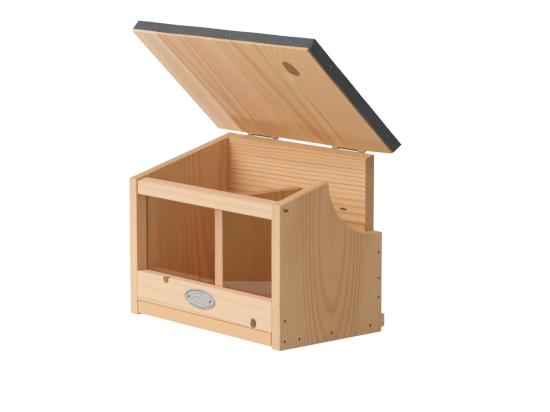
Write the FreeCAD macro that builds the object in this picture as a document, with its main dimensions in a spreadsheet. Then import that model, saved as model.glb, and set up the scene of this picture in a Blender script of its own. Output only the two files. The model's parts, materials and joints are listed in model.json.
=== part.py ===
import FreeCAD, Part
import os
import Sketcher
from FreeCAD import Placement, Rotation, Vector

# Squirrel feeder box: a box of pine boards with a window in front, a quarter-round notch at the back of
# its right-hand side, and a sloping lid under folded sheet metal, hinged behind and shown wide open.
# Millimetres. X runs to the right along the front, Y from front to back, Z up. The origin is under the
# middle of the box and its rear battens, on the surface that the side panels stand on.

doc = FreeCAD.newDocument("squirrel_feeder_box")

# Driving dimensions

sheet = doc.addObject("Spreadsheet::Sheet", "Sizes")

SIZES = [
    ("box_width", 250.0, "over the two side panels"),
    ("box_depth", 143.0, "front edge to rear edge of a side panel"),
    ("side_thick", 13.0, "side panel"),
    ("back_thick", 13.0, "back board"),
    ("front_height", 150.0, "side panel at its front edge"),
    ("roof_slope", 15.0, "degrees, rising to the back"),
    ("arris", 0.8, "rounding of the boards' edges"),
    ("back_arris", 0.35, "rounding of the back board's edges"),
    ("back_drop", 0.4, "back board's bevelled top below the roof line"),
    ("low_height", 107.5, "notched side at its rear edge"),
    ("notch_radius", 65.0, "quarter-round in the right-hand side"),
    ("notch_flat", 12.0, "level part behind the quarter-round"),
    ("floor_lift", 2.1, "floor above the side panels' feet"),
    ("floor_thick", 14.0, "floor board"),
    ("floor_inset", 0.8, "floor behind the front edge"),
    ("floor_gap", 1.6, "between the floor and the right-hand side"),
    ("apron_thick", 12.5, "board below the window"),
    ("apron_low", 16.95, "apron's lower edge above the ground"),
    ("apron_high", 49.3, "apron's upper edge above the ground"),
    ("rail_thick", 12.0, "board above the window"),
    ("rail_inset", 1.5, "rail behind the front edge"),
    ("rail_low", 134.0, "rail's lower edge above the ground"),
    ("rail_drop", 2.2, "rail's bevelled top below the roof line"),
    ("rail_gap", 0.5, "between the rail and the left-hand side"),
    ("pane_thick", 2.0, "clear window"),
    ("pane_setback", 14.7, "middle of the window behind the front edge"),
    ("pane_high", 148.0, "window's top edge above the ground"),
    ("pane_play", 0.5, "window's end play in a groove"),
    ("groove_width", 2.4, "groove in a side panel"),
    ("groove_deep", 5.0, "groove in a side panel"),
    ("divider_thick", 12.5, "board between the two compartments"),
    ("divider_shift", 6.5, "divider to the right of the middle"),
    ("divider_setback", 17.5, "divider behind the front edge"),
    ("divider_high", 142.0, "divider's top above the ground"),
    ("batten_thick", 13.0, "battens behind the back board"),
    ("low_batten_long", 232.0, "lower batten"),
    ("low_batten_foot", 2.4, "lower batten above the ground"),
    ("low_batten_tall", 14.2, "lower batten, up and down"),
    ("batten_length", 190.0, "upper batten"),
    ("batten_tall", 13.2, "upper batten, up and down"),
    ("batten_mid", 127.0, "middle of the upper batten above the ground"),
    ("hang_radius", 2.75, "hanging holes through batten and back board"),
    ("hang_reach", 40.0, "hanging holes from the middle of the box"),
    ("nail_radius", 0.9, "panel nails"),
    ("nail_head", 1.3, "radius of a panel nail's head"),
    ("nail_sink", 1.0, "head below the wood's face"),
    ("nail_length", 32.0, "panel nails"),
    ("nail_front", 7.0, "front nails behind the front edge"),
    ("nail_back", 5.0, "rear nails before the rear edge"),
    ("rail_nail", 143.6, "height of the nail in the rail"),
    ("apron_nail", 30.4, "height of the nail in the apron"),
    ("back_nail_a", 38.3, "heights of the nails in the back board"),
    ("back_nail_b", 58.7, "second"),
    ("back_nail_c", 85.7, "third"),
    ("back_nail_d", 126.0, "fourth, in the full-height side only"),
    ("back_nail_e", 166.0, "fifth, in the full-height side only"),
    ("floor_nail_a", 26.8, "floor nails behind the front edge"),
    ("floor_nail_b", 71.2, "second"),
    ("floor_nail_c", 126.2, "third"),
    ("badge_long", 51.0, "oval plate, left to right"),
    ("badge_tall", 21.4, "oval plate, up and down"),
    ("badge_thick", 0.9, "oval plate at its rim"),
    ("badge_floor", 0.5, "oval plate inside its rim"),
    ("badge_rim", 1.3, "width of the rim"),
    ("badge_shift", -3.3, "middle of the plate from the middle of the box"),
    ("badge_mid", 34.6, "middle of the plate above the ground"),
    ("badge_pin_reach", 18.0, "pins from the middle of the plate"),
    ("staple_left", -64.5, "middle of the left staple crown"),
    ("staple_right", 78.0, "middle of the right staple crown"),
    ("staple_width", 9.6, "staple crown"),
    ("staple_wire", 1.4, "staple wire"),
    ("staple_leg", 22.0, "staple leg"),
    ("hinge_width", 50.0, "butt hinge"),
    ("hinge_reach", 69.6, "hinge's middle from between the two hinges"),
    ("hinge_shift", 1.7, "between the two hinges, to the right of the middle of the box"),
    ("hinge_offset", 0.42, "pivot behind the back board's rear face"),
    ("hinge_leaf", 0.8, "leaf thickness"),
    ("box_leaf_long", 14.0, "pivot to the edge of the box's leaf"),
    ("lid_leaf_long", 9.9, "pivot to the edge of the lid's leaf"),
    ("knuckle_radius", 1.35, "outside of the knuckles"),
    ("knuckle_end", 9.0, "length of each end knuckle"),
    ("knuckle_play", 0.2, "gap beside and before a knuckle"),
    ("bore_radius", 0.8, "hole in the knuckles"),
    ("pin_radius", 0.75, "hinge pin"),
    ("pin_head", 1.2, "radius of the pin's ends"),
    ("pin_head_thick", 0.8, "thickness of the pin's ends"),
    ("box_screw_drop", 8.6, "screws below the pivot"),
    ("lid_screw_rise", 6.2, "screws above the pivot, in the lid"),
    ("screw_reach", 15.0, "screws from the hinge's middle"),
    ("screw_radius", 1.2, "hinge screws"),
    ("screw_head", 2.1, "radius of a countersunk head"),
    ("screw_taper", 40.0, "degrees, side of a countersunk head"),
    ("screw_cross", 2.8, "cross recess, over its arms"),
    ("screw_slot", 0.5, "width of an arm of the cross recess"),
    ("screw_length", 11.0, "hinge screws"),
    ("lid_setback", 1.7, "lid's rear edge in front of the pivot"),
    ("lid_under", 0.8, "lid's underside below the pivot when shut"),
    ("lid_gap", 0.1, "shut lid above the side panels"),
    ("lid_wood", 14.4, "lid boards"),
    ("lid_width", 288.2, "over the folded sheet"),
    ("lid_length", 169.8, "from the lid's rear edge over the front fold"),
    ("lid_joint_left", -100.0, "glue line, from the middle of the lid"),
    ("lid_joint_right", -3.5, "glue line, from the middle of the lid"),
    ("sheet_thick", 0.6, "roof sheet"),
    ("sheet_short", 1.6, "folds stop short of the wood's underside"),
    ("sheet_room", 1.2, "between the boards and the right-hand fold"),
    ("sheet_bend", 0.5, "outer radius of the folds"),
    ("seam", 0.8, "open seam at the two front corners"),
    ("fold_trim", 4.2, "side folds cut slanting at their rear ends, at the foot"),
    ("board_trim", 2.6, "right-hand board's rear corner cut slanting, at the end"),
    ("board_trim_long", 38.0, "length of that cut"),
    ("tack_head", 1.8, "radius of a tack's head"),
    ("tack_dome", 0.7, "height of a tack's head"),
    ("tack_radius", 0.8, "tack's shank"),
    ("tack_length", 14.0, "tack's shank"),
    ("tack_rise", 8.6, "tacks above the lid's underside"),
    ("tack_front_a", -106.0, "front tacks from the middle of the lid"),
    ("tack_front_b", 18.0, "second"),
    ("tack_front_c", 113.0, "third"),
    ("tack_side_a", 22.6, "side tacks from the lid's rear edge"),
    ("tack_side_b", 133.6, "second"),
    ("lid_raise", 44.0, "degrees above level, as it stands open"),
]

for row, (alias, value, meaning) in enumerate(SIZES, start=1):
    sheet.set(f"A{row}", meaning)
    sheet.set(f"B{row}", str(value))
    sheet.setAlias(f"B{row}", alias)
doc.recompute()

# Places that several pieces share, as expressions on the sheet

FRONT = "-(Sizes.box_depth + Sizes.batten_thick) / 2"
REAR = "(Sizes.box_depth - Sizes.batten_thick) / 2"
INNER = "(Sizes.box_width / 2 - Sizes.side_thick)"
INNER_WIDTH = "(Sizes.box_width - 2 * Sizes.side_thick)"
FLOOR_TOP = "Sizes.floor_lift + Sizes.floor_thick"
BACK_FRONT = f"{REAR} - Sizes.back_thick"
PIVOT_Y = f"{REAR} + Sizes.hinge_offset"
PIVOT_Z = (
    "Sizes.front_height + (Sizes.box_depth + Sizes.hinge_offset) * tan(Sizes.roof_slope * 1 deg)"
    " + (Sizes.lid_under + Sizes.lid_gap) / cos(Sizes.roof_slope * 1 deg)"
)
LID_TOP = "Sizes.lid_wood - Sizes.lid_under"
LID_HALF = "Sizes.lid_width / 2 - Sizes.sheet_thick"
BOARDS_RIGHT = f"{LID_HALF} - Sizes.sheet_room"
LID_BACK = "-Sizes.lid_setback"
LID_FRONT = "-Sizes.lid_setback - Sizes.lid_length + Sizes.sheet_thick"


def roof_at(y):
    """Height of the side panels' sloping top edge at a place along Y."""
    return f"Sizes.front_height + ({y} - ({FRONT})) * tan(Sizes.roof_slope * 1 deg)"


# Helpers

def bind(item, **expressions):
    """Ties properties to cells: bind(box, Length="Sizes.box_width")."""
    for name, expression in expressions.items():
        item.setExpression(name, expression)


def put(item, x="0", y="0", z="0"):
    """Ties the place of an item to cells."""
    bind(item, **{".Placement.Base.x": x, ".Placement.Base.y": y, ".Placement.Base.z": z})


def on_lid(item, x="0"):
    """Turns a piece made about the pivot, lid shut and level, up to the lid's open pose."""
    item.Placement = Placement(Vector(0, 0, 0), Rotation(Vector(-1, 0, 0), 1.0))
    bind(item, **{".Placement.Rotation.Angle": "Sizes.lid_raise * 1 deg"})
    put(item, x, PIVOT_Y, PIVOT_Z)


def new_body(label):
    body = doc.addObject("PartDesign::Body", label)
    body.Label = label
    return body


def new_sketch(body, role, name, offset="0"):
    """A sketch on one of the body's own origin planes, moved along the plane's normal."""
    sketch = body.newObject("Sketcher::SketchObject", name)
    plane = [feature for feature in body.Origin.OriginFeatures if feature.Role == role][0]
    sketch.AttachmentSupport = [(plane, "")]
    sketch.MapMode = "FlatFace"
    bind(sketch, **{".AttachmentOffset.Base.z": offset})
    return sketch


def tie_point(sketch, geometry, vertex, across, up):
    """Holds one point of a sketch at two distances from the origin."""
    for kind, expression in (("DistanceX", across), ("DistanceY", up)):
        start = 1.0 if kind == "DistanceX" else 2.0
        index = sketch.addConstraint(Sketcher.Constraint(kind, -1, 1, geometry, vertex, start))
        sketch.setExpression(f"Constraints[{index}]", expression)


def draw_outline(sketch, corners):
    """A closed outline of straight lines through the corners, given counter-clockwise."""
    count = len(corners)
    turn = 360.0 / count
    ring = [Rotation(Vector(0, 0, 1), turn * step).multVec(Vector(50, 0, 0)) for step in range(count)]
    first = sketch.GeometryCount
    for step in range(count):
        sketch.addGeometry(Part.LineSegment(ring[step], ring[(step + 1) % count]), False)
    for step in range(count):
        following = first + (step + 1) % count
        sketch.addConstraint(Sketcher.Constraint("Coincident", first + step, 2, following, 1))
    for step, (across, up) in enumerate(corners):
        tie_point(sketch, first + step, 1, across, up)


def draw_rectangle(sketch, left, right, low, high):
    draw_outline(sketch, [(left, low), (right, low), (right, high), (left, high)])


def draw_circle(sketch, radius, across, up):
    circle = sketch.addGeometry(Part.Circle(Vector(1, 2, 0), Vector(0, 0, 1), 5.0), False)
    tie_point(sketch, circle, 3, across, up)
    size = sketch.addConstraint(Sketcher.Constraint("Radius", circle, 5.0))
    sketch.setExpression(f"Constraints[{size}]", radius)


def add_pad(body, sketch, name, length, backwards=False):
    pad = body.newObject("PartDesign::Pad", name)
    pad.Profile = sketch
    pad.Reversed = backwards
    bind(pad, Length=length)
    doc.recompute()
    return pad


def add_pocket(body, sketch, name, length, backwards=False):
    """Cuts a sketch out of the body, and stops if nothing was cut."""
    before = body.Shape.Volume
    pocket = body.newObject("PartDesign::Pocket", name)
    pocket.Profile = sketch
    pocket.Reversed = backwards
    bind(pocket, Length=length)
    doc.recompute()
    if body.Shape.Volume > before - 1e-3:
        raise RuntimeError(f"{body.Label}: {name} cut nothing")
    return pocket


def ease_edges(body, edges=None, radius="Sizes.arris"):
    """Rounds the edges of the body as it is so far: all of them, or those that are named."""
    base = body.Tip
    names = edges or [f"Edge{number}" for number in range(1, len(base.Shape.Edges) + 1)]
    fillet = body.newObject("PartDesign::Fillet", "eased_edges")
    fillet.Base = (base, names)
    bind(fillet, Radius=radius)
    doc.recompute()


def make_board(label, corners, length, start, arris="Sizes.arris"):
    """A board along X: its section in Y and Z, its length, and where its left end is."""
    body = new_body(label)
    section = new_sketch(body, "YZ_Plane", "section")
    draw_outline(section, corners)
    add_pad(body, section, "board", length)
    if arris:
        ease_edges(body, radius=arris)
    put(body, start)
    return body


def box_section(front, back, low, high):
    return [(front, low), (back, low), (back, high), (front, high)]


# Side panels

def side_nails(full_height):
    """Y and Z of the nails through a side panel."""
    front = f"{FRONT} + Sizes.nail_front"
    back = f"{REAR} - Sizes.nail_back"
    floor = "Sizes.floor_lift + Sizes.floor_thick / 2"
    nails = [(front, "Sizes.rail_nail"), (front, "Sizes.apron_nail"), (front, floor)]
    nails += [(f"{FRONT} + Sizes.floor_nail_{letter}", floor) for letter in "abc"]
    letters = "abcde" if full_height else "abc"
    nails += [(back, f"Sizes.back_nail_{letter}") for letter in letters]
    return nails


def make_side_panel(label, right):
    """A side panel, its face with the nails outwards and its face with the groove inwards."""
    body = new_body(label)
    outline = new_sketch(body, "YZ_Plane", "outline")
    draw_outline(outline, [(FRONT, "0"), (REAR, "0"), (REAR, roof_at(REAR)), (FRONT, roof_at(FRONT))])
    add_pad(body, outline, "panel", "Sizes.side_thick")
    if right:
        notch_middle = f"{REAR} - Sizes.notch_flat"
        quarter = new_sketch(body, "YZ_Plane", "quarter_round")
        draw_circle(quarter, "Sizes.notch_radius", notch_middle, "Sizes.low_height + Sizes.notch_radius")
        add_pocket(body, quarter, "notch", "Sizes.side_thick", backwards=True)
        level = new_sketch(body, "YZ_Plane", "level_part")
        past = f"{REAR} + 10"
        draw_rectangle(level, notch_middle, past, "Sizes.low_height", "Sizes.front_height * 2")
        add_pocket(body, level, "notch_behind", "Sizes.side_thick", backwards=True)
    ease_edges(body)
    groove = new_sketch(body, "YZ_Plane", "groove_lines", "0" if right else "Sizes.side_thick")
    middle = f"{FRONT} + Sizes.pane_setback"
    draw_rectangle(
        groove,
        f"{middle} - Sizes.groove_width / 2",
        f"{middle} + Sizes.groove_width / 2",
        FLOOR_TOP,
        "Sizes.front_height * 2",
    )
    add_pocket(body, groove, "groove", "Sizes.groove_deep", backwards=right)
    holes = new_sketch(body, "YZ_Plane", "nail_marks", "Sizes.side_thick" if right else "0")
    for y, z in side_nails(full_height=not right):
        draw_circle(holes, "Sizes.nail_head", y, z)
    add_pocket(body, holes, "sunk_nails", "Sizes.nail_sink", backwards=not right)
    put(body, INNER if right else "-Sizes.box_width / 2")
    return body


# Boards between the sides

def drill(body, middle):
    """The two hanging holes, from front to back through a board that is behind the middle."""
    holes = new_sketch(body, "XZ_Plane", "hanging_holes")
    for sign in "-+":
        draw_circle(holes, "Sizes.hang_radius", f"{middle} {sign} Sizes.hang_reach", "Sizes.batten_mid")
    add_pocket(body, holes, "holes", "Sizes.box_depth")


def make_back_board():
    corners = [
        (BACK_FRONT, "Sizes.floor_lift"),
        (REAR, "Sizes.floor_lift"),
        (REAR, f"{roof_at(REAR)} - Sizes.back_drop"),
        (BACK_FRONT, f"{roof_at(BACK_FRONT)} - Sizes.back_drop"),
    ]
    body = make_board("back_board", corners, INNER_WIDTH, f"-{INNER}", "Sizes.back_arris")
    drill(body, INNER)
    return body


def make_floor_board():
    section = box_section(f"{FRONT} + Sizes.floor_inset", BACK_FRONT, "Sizes.floor_lift", FLOOR_TOP)
    return make_board("floor_board", section, f"{INNER_WIDTH} - Sizes.floor_gap", f"-{INNER}")


def make_front_apron():
    section = box_section(FRONT, f"{FRONT} + Sizes.apron_thick", "Sizes.apron_low", "Sizes.apron_high")
    return make_board("front_apron", section, INNER_WIDTH, f"-{INNER}")


def make_front_rail():
    near = f"{FRONT} + Sizes.rail_inset"
    far = f"{near} + Sizes.rail_thick"
    corners = [
        (near, "Sizes.rail_low"),
        (far, "Sizes.rail_low"),
        (far, f"{roof_at(far)} - Sizes.rail_drop"),
        (near, f"{roof_at(near)} - Sizes.rail_drop"),
    ]
    length = f"{INNER_WIDTH} - Sizes.rail_gap"
    return make_board("front_rail", corners, length, f"-{INNER} + Sizes.rail_gap")


def make_divider():
    section = box_section(f"{FRONT} + Sizes.divider_setback", BACK_FRONT, FLOOR_TOP, "Sizes.divider_high")
    start = "Sizes.divider_shift - Sizes.divider_thick / 2"
    return make_board("divider_board", section, "Sizes.divider_thick", start)


def make_window_pane():
    middle = f"{FRONT} + Sizes.pane_setback"
    near = f"{middle} - Sizes.pane_thick / 2"
    far = f"{middle} + Sizes.pane_thick / 2"
    reach = "(Sizes.groove_deep - Sizes.pane_play)"
    section = box_section(near, far, FLOOR_TOP, "Sizes.pane_high")
    start = f"-{INNER} - {reach}"
    return make_board("window_pane", section, f"{INNER_WIDTH} + 2 * {reach}", start, arris=None)


def make_battens():
    behind = f"{REAR} + Sizes.batten_thick"
    lower_top = "Sizes.low_batten_foot + Sizes.low_batten_tall"
    lower = box_section(REAR, behind, "Sizes.low_batten_foot", lower_top)
    make_board("rear_batten_lower", lower, "Sizes.low_batten_long", "-Sizes.low_batten_long / 2")
    half = "Sizes.batten_tall / 2"
    upper = box_section(REAR, behind, f"Sizes.batten_mid - {half}", f"Sizes.batten_mid + {half}")
    body = make_board("rear_batten_upper", upper, "Sizes.batten_length", "-Sizes.batten_length / 2")
    drill(body, "Sizes.batten_length / 2")


# Fasteners

def cylinder(name, radius, height, low="0"):
    item = doc.addObject("Part::Cylinder", name)
    bind(item, Radius=radius, Height=height)
    put(item, z=low)
    return item


def fuse(name, *items):
    joined = doc.addObject("Part::MultiFuse", name)
    joined.Shapes = list(items)
    return joined


def group(label, items):
    """Identical fasteners kept together under one name, each still its own solid."""
    gathered = doc.addObject("Part::Compound", label)
    gathered.Label = label
    gathered.Links = items
    return gathered


def point_along(item, direction):
    """Aims a fastener that was made along +Z, its head at the origin."""
    item.Placement = Placement(Vector(0, 0, 0), Rotation(Vector(0, 0, 1), direction))


def make_nail(name, x, y, z, direction):
    """A panel nail: its head's face at the given place, its shank in the given direction."""
    head = cylinder(f"{name}_head", "Sizes.nail_head", "Sizes.nail_radius")
    shank = cylinder(f"{name}_shank", "Sizes.nail_radius", "Sizes.nail_length")
    nail = fuse(name, head, shank)
    point_along(nail, direction)
    put(nail, x, y, z)
    return nail


def make_panel_nails(label, right):
    outside = "Sizes.box_width / 2 - Sizes.nail_sink"
    x = outside if right else f"-({outside})"
    inwards = Vector(-1, 0, 0) if right else Vector(1, 0, 0)
    places = side_nails(full_height=not right)
    nails = [make_nail(f"{label}_{count}", x, y, z, inwards) for count, (y, z) in enumerate(places)]
    return group(label, nails)


def make_divider_nails():
    """Two nails through the back board and two up through the floor, into the divider."""
    x = "Sizes.divider_shift"
    heights = ["Sizes.back_nail_b", "Sizes.back_nail_c + 20"]
    depths = [f"{FRONT} + Sizes.floor_nail_{letter}" for letter in "bc"]
    nails = [
        make_nail(f"divider_back_{count}", x, REAR, z, Vector(0, -1, 0))
        for count, z in enumerate(heights)
    ]
    nails += [
        make_nail(f"divider_low_{count}", x, y, "Sizes.floor_lift", Vector(0, 0, 1))
        for count, y in enumerate(depths)
    ]
    return group("divider_nails", nails)


def make_batten_nails():
    """Three nails through the lower batten and the back board into the floor's rear edge."""
    y = f"{REAR} + Sizes.batten_thick"
    z = "Sizes.floor_lift + Sizes.floor_thick / 2"
    places = ["-Sizes.hinge_reach", "0", "Sizes.hinge_reach"]
    nails = [make_nail(f"batten_nail_{count}", x, y, z, Vector(0, -1, 0)) for count, x in enumerate(places)]
    return group("batten_nails", nails)


def make_staple(name, x):
    """A wire staple driven from inside the box, its crown level with the back board's face."""
    crown = doc.addObject("Part::Box", f"{name}_crown")
    bind(crown, Length="Sizes.staple_width", Width="Sizes.staple_wire", Height="Sizes.staple_wire")
    legs = []
    for count, place in enumerate(["0", "Sizes.staple_width - Sizes.staple_wire"]):
        leg = doc.addObject("Part::Box", f"{name}_leg_{count}")
        bind(leg, Length="Sizes.staple_wire", Width="Sizes.staple_leg", Height="Sizes.staple_wire")
        put(leg, place)
        legs.append(leg)
    staple = fuse(name, crown, *legs)
    put(
        staple,
        f"{x} - Sizes.staple_width / 2",
        f"{BACK_FRONT} - 0.2",
        "Sizes.batten_mid - Sizes.staple_wire / 2",
    )
    return staple


def make_staples():
    left = make_staple("staple_left", "Sizes.staple_left")
    right = make_staple("staple_right", "Sizes.staple_right")
    return group("batten_staples", [left, right])


def make_tack(name, x, y, z, direction):
    """A tack: a shallow dome on the sheet, its shank in the wood."""
    dome = doc.addObject("Part::Sphere", f"{name}_dome")
    radius = "(Sizes.tack_head ^ 2 + Sizes.tack_dome ^ 2) / (2 * Sizes.tack_dome)"
    bind(dome, Radius=radius, Angle1=f"asin(1 - Sizes.tack_dome / ({radius}))")
    put(dome, z=f"Sizes.tack_dome - {radius}")
    shank = cylinder(f"{name}_shank", "Sizes.tack_radius", "Sizes.tack_length", "-Sizes.tack_length")
    tack = fuse(name, dome, shank)
    point_along(tack, direction)
    put(tack, x, y, z)
    return tack


def make_tacks():
    z = "Sizes.tack_rise - Sizes.lid_under"
    front = f"{LID_BACK} - Sizes.lid_length"
    tacks = [
        make_tack(f"front_tack_{letter}", f"Sizes.tack_front_{letter}", front, z, Vector(0, -1, 0))
        for letter in "abc"
    ]
    on_lid(group("roof_tacks_front", tacks))
    for label, sign, outwards in (("left", "-", Vector(-1, 0, 0)), ("right", "", Vector(1, 0, 0))):
        tacks = [
            make_tack(
                f"{label}_tack_{letter}",
                f"{sign}Sizes.lid_width / 2",
                f"{LID_BACK} - Sizes.tack_side_{letter}",
                z,
                outwards,
            )
            for letter in "ab"
        ]
        on_lid(group(f"roof_tacks_{label}", tacks))


# Oval plate on the apron

def make_oval(name, inset, thick, out):
    """An oval slab standing out from the apron's front face."""
    rim = doc.addObject("Part::Ellipse", f"{name}_line")
    bind(rim, MajorRadius=f"Sizes.badge_long / 2 - {inset}", MinorRadius=f"Sizes.badge_tall / 2 - {inset}")
    slab = doc.addObject("Part::Extrusion", name)
    slab.Base = rim
    slab.DirMode = "Custom"
    slab.Dir = Vector(0, 0, 1)
    slab.Solid = True
    bind(slab, LengthFwd=thick)
    put(slab, z=out)
    return slab


def make_badge():
    face_forward = Rotation(Vector(1, 0, 0), 90)
    whole = make_oval("badge_outer", "0", "Sizes.badge_thick", "0")
    hollow = make_oval("badge_hollow", "Sizes.badge_rim", "Sizes.badge_thick", "Sizes.badge_floor")
    plate = doc.addObject("Part::Cut", "badge_plate")
    plate.Label = "badge_plate"
    plate.Base = whole
    plate.Tool = hollow
    plate.Placement = Placement(Vector(0, 0, 0), face_forward)
    put(plate, "Sizes.badge_shift", FRONT, "Sizes.badge_mid")
    pins = []
    for count, sign in enumerate("-+"):
        x = f"Sizes.badge_shift {sign} Sizes.badge_pin_reach"
        head = cylinder(f"badge_pin_{count}_head", "Sizes.nail_radius * 1.2", "Sizes.badge_floor")
        shank = cylinder(f"badge_pin_{count}_shank", "Sizes.nail_radius / 2", "Sizes.nail_radius * 10")
        pin = fuse(f"badge_pin_{count}", head, shank)
        point_along(pin, Vector(0, 1, 0))
        put(pin, x, f"{FRONT} - 2 * Sizes.badge_floor", "Sizes.badge_mid")
        pins.append(pin)
    group("badge_pins", pins)


# Lid, made about the pivot as if shut and level, then turned up

def make_lid_board(label, left, right, trimmed=False):
    body = new_body(label)
    outline = new_sketch(body, "XY_Plane", "outline", "-Sizes.lid_under")
    rear = [(right, LID_BACK)]
    if trimmed:
        rear = [(right, f"{LID_BACK} - Sizes.board_trim"), (f"{right} - Sizes.board_trim_long", LID_BACK)]
    draw_outline(outline, [(left, LID_FRONT), (right, LID_FRONT), *rear, (left, LID_BACK)])
    add_pad(body, outline, "board", "Sizes.lid_wood")
    on_lid(body)


def make_roof_sheet():
    """One sheet folded down over the front and both ends of the lid, its front corners left open."""
    body = new_body("roof_sheet")
    half = "Sizes.lid_width / 2"
    front = f"{LID_FRONT} - Sizes.sheet_thick"
    top = new_sketch(body, "XY_Plane", "top_lines", LID_TOP)
    draw_rectangle(top, f"-{half}", half, front, LID_BACK)
    add_pad(body, top, "top", "Sizes.sheet_thick")
    depth = "Sizes.lid_wood - Sizes.sheet_short"
    side_front = f"{LID_FRONT} + Sizes.seam / 2"
    front_half = f"({LID_HALF} - Sizes.seam / 2)"
    folds = {
        "left_fold": (f"-{half}", f"-({LID_HALF})", side_front, LID_BACK),
        "right_fold": (LID_HALF, half, side_front, LID_BACK),
        "front_fold": (f"-{front_half}", front_half, front, LID_FRONT),
    }
    for name, edges in folds.items():
        lines = new_sketch(body, "XY_Plane", f"{name}_lines", LID_TOP)
        draw_rectangle(lines, *edges)
        add_pad(body, lines, name, depth, backwards=True)
    ease_edges(body, folded_edges(body.Shape), "Sizes.sheet_bend")
    past = f"(({depth} + 1) / ({depth}))"
    foot = f"{LID_TOP} - ({depth}) * {past}"
    slant = new_sketch(body, "YZ_Plane", "rear_ends", f"-{half} - 1")
    draw_outline(slant, [
        (LID_BACK, LID_TOP), (f"{LID_BACK} - Sizes.fold_trim * {past}", foot),
        (f"{LID_BACK} + 1", foot), (f"{LID_BACK} + 1", LID_TOP)])
    add_pocket(body, slant, "slanting_rear_ends", "Sizes.lid_width + 2", backwards=True)
    on_lid(body)


def folded_edges(shape):
    """The upper edges where the sheet folds down: all round its top but for the rear edge."""
    whole = shape.BoundBox
    names = []
    for number, edge in enumerate(shape.Edges, start=1):
        box = edge.BoundBox
        on_top = box.ZMin > whole.ZMax - 0.001
        at_rear = box.YMin > whole.YMax - 0.001
        if on_top and not at_rear:
            names.append(f"Edge{number}")
    return names


# Hinges, made about the pivot with their middle at the origin

def make_leaf(label, for_lid):
    """One leaf with its knuckles. The leaf runs down the box, or up the lid's rear edge."""
    body = new_body(label)
    width = "Sizes.hinge_width"
    start = "-Sizes.hinge_width / 2"
    against = LID_BACK if for_lid else "-Sizes.hinge_offset"
    outside = f"{against} + Sizes.hinge_leaf"
    plate = new_sketch(body, "YZ_Plane", "leaf_lines", start)
    if for_lid:
        draw_rectangle(plate, against, outside, "0", "Sizes.lid_leaf_long")
    else:
        draw_rectangle(plate, against, outside, "-Sizes.box_leaf_long", "0")
    add_pad(body, plate, "leaf", width)
    barrel = new_sketch(body, "YZ_Plane", "barrel_line", start)
    draw_circle(barrel, "Sizes.knuckle_radius", "0", "0")
    add_pad(body, barrel, "barrel", width)
    bore = new_sketch(body, "YZ_Plane", "bore_line", start)
    draw_circle(bore, "Sizes.bore_radius", "0", "0")
    add_pocket(body, bore, "bore", width, backwards=True)
    room = "(Sizes.knuckle_radius + 2 * Sizes.knuckle_play)"
    gaps = new_sketch(body, "XZ_Plane", "knuckle_gaps", "-Sizes.knuckle_radius * 2")
    if for_lid:
        near = "(Sizes.hinge_width / 2 - Sizes.knuckle_end - Sizes.knuckle_play)"
        far = "(Sizes.hinge_width / 2 + 1)"
        draw_rectangle(gaps, f"-{far}", f"-{near}", f"-{room}", room)
        draw_rectangle(gaps, near, far, f"-{room}", room)
    else:
        near = "(Sizes.hinge_width / 2 - Sizes.knuckle_end)"
        draw_rectangle(gaps, f"-{near}", near, f"-{room}", room)
    add_pocket(body, gaps, "gaps", "Sizes.knuckle_radius * 4", backwards=True)
    if for_lid:
        countersink(body, outside, "Sizes.lid_screw_rise")
    else:
        countersink(body, outside, "-Sizes.box_screw_drop")
    return body


def countersink(body, outside, rise):
    """Two tapered screw holes, wide at the leaf's outer face."""
    for name, sign in (("left", "-"), ("right", "")):
        mark = new_sketch(body, "XZ_Plane", f"{name}_screw_mark", f"-({outside})")
        draw_circle(mark, "Sizes.screw_head", f"{sign}Sizes.screw_reach", rise)
        hole = add_pocket(body, mark, f"{name}_screw_hole", "Sizes.hinge_leaf", backwards=True)
        bind(hole, TaperAngle="-Sizes.screw_taper * 1 deg")
        doc.recompute()


def make_pin(label, x):
    """A wire through the knuckles, with a flat end at each side that keeps it in."""
    half = "Sizes.hinge_width / 2"
    wire = cylinder(f"{label}_wire", "Sizes.pin_radius", "Sizes.hinge_width", f"-{half}")
    right = cylinder(f"{label}_right_end", "Sizes.pin_head", "Sizes.pin_head_thick", half)
    left_place = f"-{half} - Sizes.pin_head_thick"
    left = cylinder(f"{label}_left_end", "Sizes.pin_head", "Sizes.pin_head_thick", left_place)
    pin = fuse(label, wire, right, left)
    pin.Label = label
    point_along(pin, Vector(1, 0, 0))
    put(pin, x, PIVOT_Y, PIVOT_Z)


def make_screw(name, x, y, z):
    """A countersunk screw that goes towards -Y, its head level with the leaf's outer face."""
    head = doc.addObject("Part::Cone", f"{name}_head")
    narrow = "Sizes.screw_head - Sizes.hinge_leaf * tan(Sizes.screw_taper * 1 deg)"
    bind(head, Radius1="Sizes.screw_head", Radius2=narrow, Height="Sizes.hinge_leaf")
    shank = cylinder(f"{name}_shank", "Sizes.screw_radius", "Sizes.screw_length")
    arms = []
    for count, (length, width) in enumerate([("screw_cross", "screw_slot"), ("screw_slot", "screw_cross")]):
        arm = doc.addObject("Part::Box", f"{name}_arm_{count}")
        bind(arm, Length=f"Sizes.{length}", Width=f"Sizes.{width}", Height="Sizes.screw_slot * 2")
        put(arm, f"-Sizes.{length} / 2", f"-Sizes.{width} / 2", "-Sizes.screw_slot")
        arms.append(arm)
    screw = doc.addObject("Part::Cut", name)
    screw.Base = fuse(f"{name}_blank", head, shank)
    screw.Tool = fuse(f"{name}_cross", *arms)
    point_along(screw, Vector(0, -1, 0))
    put(screw, x, y, z)
    return screw


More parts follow.
